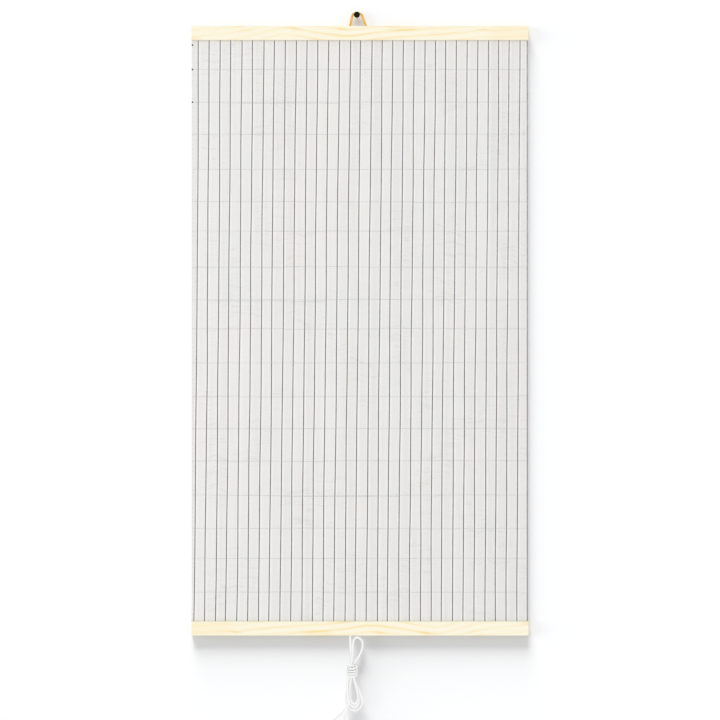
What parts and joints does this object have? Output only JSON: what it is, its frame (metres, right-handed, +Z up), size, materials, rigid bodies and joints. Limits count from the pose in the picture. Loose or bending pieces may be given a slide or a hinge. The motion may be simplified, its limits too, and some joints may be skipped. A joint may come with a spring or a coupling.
{
  "type": "infrared heating panel",
  "caption": "Flexible infrared heating film between two pine slats, hung by a cord loop on a wall pin, with a hanked white mains lead and flat plug.",
  "frame": {"origin": "where the axis of the wall pin's shank enters the wall", "axes": "+Y into the wall along the pin, +Z up, +X to the right as seen from the room; the front of the panel faces -Y"},
  "size_m": [0.57, 0.0423, 1.2429],
  "materials": {
    "pine": "bare, planed, pale pine with faint grain",
    "clear_film": "glossy, clear with a slight milky haze",
    "dark_yarn": "dark grey carbon yarn laminated in film",
    "copper": "bare copper foil",
    "steel": "zinc plated",
    "tin": "tinned, satin",
    "nickel": "nickel plated brass",
    "black_plastic": "black, smooth",
    "golden_cord": "golden twisted cord",
    "white_cord": "white PVC, satin",
    "white_plastic": "white moulded plastic, satin",
    "blue_lead": "blue insulation",
    "brown_lead": "brown insulation"
  },
  "bodies": {
    "wall_pin": {"pin_head": "black_plastic", "pin_shank": "steel"},
    "loop": {"hanging_loop": "golden_cord"},
    "top_slat": {"top_slat_front": "pine", "top_slat_back": "pine", "film_tail_top": "clear_film", "busbar_top": "copper", "loop_end_left": "golden_cord", "loop_end_right": "golden_cord", "top_screw_1": "steel", "top_screw_2": "steel", "top_screw_3": "steel", "top_screw_4": "steel"},
    "film": {"film_front": "clear_film", "film_back": "clear_film", "heating_mesh": "dark_yarn", "return_lead": "dark_yarn"},
    "bottom_slat": {"bottom_slat_front": "pine", "bottom_slat_back": "pine", "film_tail_bottom": "clear_film", "busbar_bottom": "copper", "return_lead_tail": "copper", "return_crimp": "tin", "busbar_crimp": "tin", "neutral_lead": "blue_lead", "live_lead": "brown_lead", "cutout_lead": "brown_lead", "thermal_cutout": "steel", "cord_inner_end": "white_cord", "cord_clamp": "steel", "clamp_screw_left": "steel", "clamp_screw_right": "steel", "bottom_screw_1": "steel", "bottom_screw_2": "steel", "bottom_screw_3": "steel", "bottom_screw_4": "steel", "power_cord": "white_cord", "cord_hank": "white_cord", "plug_cord": "white_cord", "plug_body": "white_plastic", "plug_pin_left": "nickel", "plug_pin_right": "nickel", "pin_sleeve_left": "black_plastic", "pin_sleeve_right": "black_plastic"}
  },
  "joints": [
    {"name": "loop_swing", "type": "hinge", "parent": "wall_pin", "child": "loop", "pos_m": [0, -0.005, 0], "axis": [0, 1, 0], "range_deg": [-25, 25]},
    {"name": "slat_tilt", "type": "hinge", "parent": "loop", "child": "top_slat", "pos_m": [0.0052, -0.005, -0.0166], "axis": [-1, 0, 0], "range_deg": [0, 60]},
    {"name": "film_lift", "type": "hinge", "parent": "top_slat", "child": "film", "pos_m": [0.0052, -0.005, -0.04405], "axis": [-1, 0, 0], "range_deg": [0, 80], "stiffness_Nm_per_rad": 0.8},
    {"name": "bottom_slat_turn", "type": "hinge", "parent": "film", "child": "bottom_slat", "pos_m": [0.0052, -0.005, -1.02595], "axis": [-1, 0, 0], "range_deg": [-90, 90], "stiffness_Nm_per_rad": 0.8}
  ]
}
